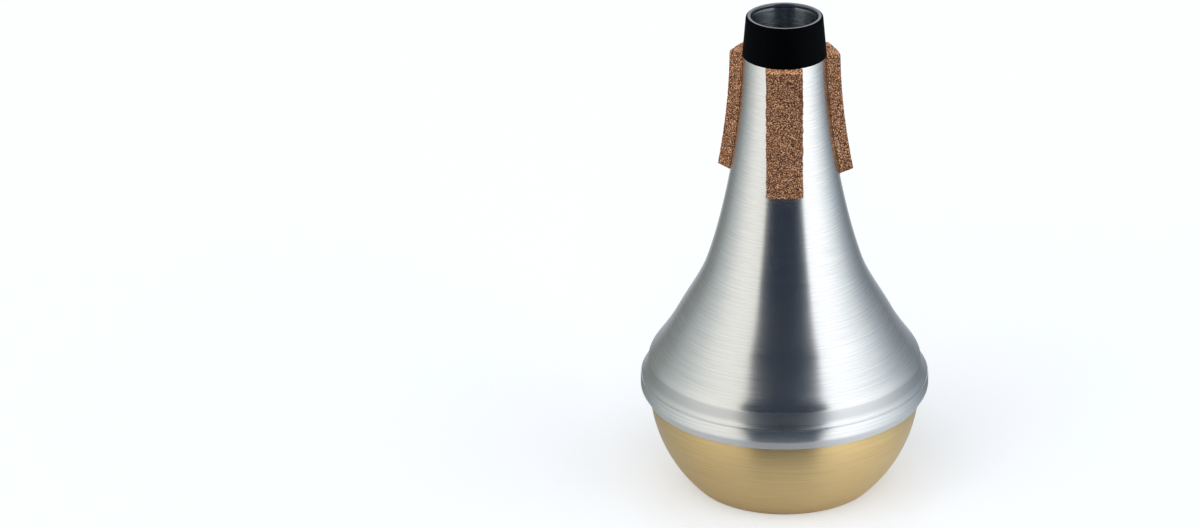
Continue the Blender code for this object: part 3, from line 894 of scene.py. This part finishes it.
@dataclass
class Studio:
    """White table under soft light, with a dark front for the metal, and the camera in front of it."""

    camera_place: tuple = (0.0, -1.3, 0.6424)
    camera_pitch: float = 23.76         # degrees below the horizon
    lens: float = 141.78
    shift: tuple = (-0.15375, 0.0004)   # the mute stands right of the middle of the frame
    floor_size: float = 6.0
    floor_colour: str = "D8DCE2"
    floor_glow: float = 0.37            # what the white floor adds to what the camera sees of it
    mirrored_glow: tuple = (0.00, 0.19)     # and to what metal mirrors of it, on the left and on the brighter right
    near_floor: tuple = (0.066, 0.090)  # from here outwards the metal mirrors the surroundings and not the floor
    bearing_origin: float = 0.040       # how far in front of the axis the floor's bearings are taken: the bead's front
    floor_drop: float = 0.00002         # the floor lies this far under the base, so that their faces don't coincide
    lamp_strength: float = 1.3
    lamp_turn: tuple = (38.0, -14.0, 0.0)   # degrees
    lamp_softness: float = 60.0         # degrees of sky that the lamp covers
    surroundings: float = 1.3           # strength of what stands round the mute

    # What stands round the mute, by its bearing in degrees from the front (-Y) towards +X
    BEARINGS = ((-180, "E8ECF2"), (-170, "D0D4D9"), (-160, "989B9E"), (-148, "70716F"), (-129, "828684"),
                (-113, "A3A7A5"), (-96, "BEC0BC"), (-78, "DCDAD4"), (-60, "E4E1DA"), (-48, "DFDCD5"), (-39, "DAD7CF"),
                (-34, "333A45"), (-20, "28303B"), (20, "28303B"), (34, "363E49"), (39, "F4F6F7"), (50, "FFFFFF"),
                (64, "FFFFFF"), (78, "F4F6F6"), (96, "D4D9DA"), (113, "A8AEB3"), (129, "848B91"), (145, "6C7275"),
                (158, "84898E"), (170, "CDD2D8"), (180, "E8ECF2"))

    def place_camera(self) -> None:
        """Put the camera at the photograph's viewing angle."""
        data = bpy.data.cameras.new("camera")
        data.sensor_width = 36.0
        data.lens = self.lens
        data.shift_x, data.shift_y = self.shift
        camera = bpy.data.objects.new("camera", data)
        camera.location = self.camera_place
        camera.rotation_euler = (math.radians(90.0 - self.camera_pitch), 0.0, 0.0)
        bpy.context.scene.collection.objects.link(camera)
        bpy.context.scene.camera = camera

    def around(self, tree: bpy.types.NodeTree, spot: bpy.types.NodeSocket) -> bpy.types.Node:
        """Add the nodes that give the colour of what stands at a bearing.

        Args:
            tree: node tree that takes the nodes.
            spot: a direction from the mute, or a place on the floor.

        Returns:
            The node with the colour.
        """
        axes = add_node(tree, "ShaderNodeSeparateXYZ", {0: spot})
        front = add_node(tree, "ShaderNodeMath", {0: axes.outputs[1], 1: -1.0}, operation="MULTIPLY")
        bearing = add_node(tree, "ShaderNodeMath", {0: axes.outputs[0], 1: front.outputs[0]}, operation="ARCTAN2")
        share = add_node(tree, "ShaderNodeMath", {0: bearing.outputs[0], 1: 1.0 / FULL_TURN, 2: 0.5},
                         operation="MULTIPLY_ADD")
        ends = (self.BEARINGS[0], self.BEARINGS[-1], *self.BEARINGS[1:-1])
        return add_node(tree, "ShaderNodeValToRGB", {0: share.outputs[0]},
                        stops=tuple((degrees / 360.0 + 0.5, colour) for degrees, colour in ends))

    def lay_floor(self) -> None:
        """Lay a plain white floor that keeps the mute's shadow.

        Metal mirrors the floor near the mute, and further out what stands beyond the table at the same bearing.
        """
        half = 0.5 * self.floor_size
        low = -self.floor_drop
        corners = np.array(((-half, -half, low), (half, -half, low), (half, half, low), (-half, half, low)))
        floor = make_piece("floor", corners, [np.array(((0, 1, 2, 3),))])
        material, tree, output = new_material("white_table")
        material.cycles.emission_sampling = "NONE"
        path = add_node(tree, "ShaderNodeLightPath")
        place = add_node(tree, "ShaderNodeTexCoord")
        table = add_node(tree, "ShaderNodeBsdfDiffuse", {"Color": linear(self.floor_colour)})
        sides = add_node(tree, "ShaderNodeSeparateXYZ", {0: place.outputs["Object"]})
        slope = add_node(tree, "ShaderNodeMapRange",
                         {"Value": sides.outputs[0], "From Min": -0.04, "From Max": 0.04,
                          "To Min": self.mirrored_glow[0], "To Max": self.mirrored_glow[1]})
        shiny = add_node(tree, "ShaderNodeMath", {0: path.outputs["Is Glossy Ray"], 1: slope.outputs[0]},
                         operation="MULTIPLY")
        lift = add_node(tree, "ShaderNodeMath", {0: path.outputs["Is Camera Ray"], 1: self.floor_glow,
                                                 2: shiny.outputs[0]}, operation="MULTIPLY_ADD")
        glow = add_node(tree, "ShaderNodeEmission", {"Strength": lift.outputs[0]})
        white = add_node(tree, "ShaderNodeAddShader", {0: table.outputs[0], 1: glow.outputs[0]})
        reach = add_node(tree, "ShaderNodeVectorMath", {0: place.outputs["Object"]}, operation="LENGTH")
        beyond = add_node(tree, "ShaderNodeMapRange", {"Value": reach.outputs["Value"], "From Min": self.near_floor[0],
                                                       "From Max": self.near_floor[1]})
        mirrored = add_node(tree, "ShaderNodeMath", {0: beyond.outputs[0], 1: path.outputs["Is Glossy Ray"]},
                            operation="MULTIPLY")
        seen_from = add_node(tree, "ShaderNodeVectorMath",
                             {0: place.outputs["Object"], 1: (0.0, self.bearing_origin, 0.0)}, operation="ADD")
        around = self.around(tree, seen_from.outputs[0])
        studio = add_node(tree, "ShaderNodeEmission", {"Color": around.outputs[0], "Strength": self.surroundings})
        mixed = add_node(tree, "ShaderNodeMixShader",
                         {0: mirrored.outputs[0], 1: white.outputs[0], 2: studio.outputs[0]})
        tree.links.new(mixed.outputs[0], output.inputs["Surface"])
        floor.data.materials.append(material)

    def hang_lamp(self) -> None:
        """Hang one broad soft lamp that lights the mute evenly and doesn't show in the metal."""
        data = bpy.data.lights.new("soft_overhead", "SUN")
        data.energy = self.lamp_strength
        data.angle = math.radians(self.lamp_softness)
        lamp = bpy.data.objects.new("soft_overhead", data)
        lamp.rotation_euler = [math.radians(turn) for turn in self.lamp_turn]
        lamp.visible_glossy = False
        bpy.context.scene.collection.objects.link(lamp)

    def surround(self) -> None:
        """Set the surroundings by bearing: dark in front, bright at both sides, grey behind, white to the camera."""
        world = bpy.data.worlds.new("studio")
        world.use_nodes = True
        tree = world.node_tree
        tree.nodes.clear()
        output = tree.nodes.new("ShaderNodeOutputWorld")
        path = add_node(tree, "ShaderNodeLightPath")
        place = add_node(tree, "ShaderNodeTexCoord")
        around = self.around(tree, place.outputs["Generated"])
        studio = add_node(tree, "ShaderNodeBackground", {0: around.outputs[0], 1: self.surroundings})
        white = add_node(tree, "ShaderNodeBackground", {0: linear("FFFFFF"), 1: 1.0})
        mixed = add_node(tree, "ShaderNodeMixShader",
                         {0: path.outputs["Is Camera Ray"], 1: studio.outputs[0], 2: white.outputs[0]})
        tree.links.new(mixed.outputs[0], output.inputs["Surface"])
        bpy.context.scene.world = world

    def build(self) -> None:
        """Set up camera, floor, lamp and surroundings."""
        self.place_camera()
        self.lay_floor()
        self.hang_lamp()
        self.surround()
        bpy.context.scene.view_settings.view_transform = "Standard"
        log.info("studio: camera %s, lens %.1f mm", self.camera_place, self.lens)


def dress_sealant() -> None:
    """Give the CAD ring of sealing compound, which stays inside the seam, its finish."""
    compound = DriedFilm("cured_sealing_compound", "A9A396", "8E887B", 0.6)
    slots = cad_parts["seam_sealant"].data.materials
    slots.clear()
    slots.append(compound.material())
    log.info("seam_sealant: CAD node, dressed as %s", compound.name)


def main() -> None:
    """Build the mute and its studio."""
    logging.basicConfig(level=logging.INFO, format="%(name)s: %(message)s")
    Studio().build()
    cone = AluminiumCone()
    cone.build()
    cup = BrassCup()
    cup.build(cone.lip(cup.lip_length, gap=0.3 * MM))
    EndCollar().build()
    cork = PressedCork().material()
    cement = DriedFilm("dried_contact_cement", "8A6236", "5E3F22", 0.4).material()
    for side in PadSide:
        pad = CorkPad(cone, side)
        pad.build(cork)
        GlueFilm(pad).build(cement)
    dress_sealant()


if __name__ == "__main__":
    main()
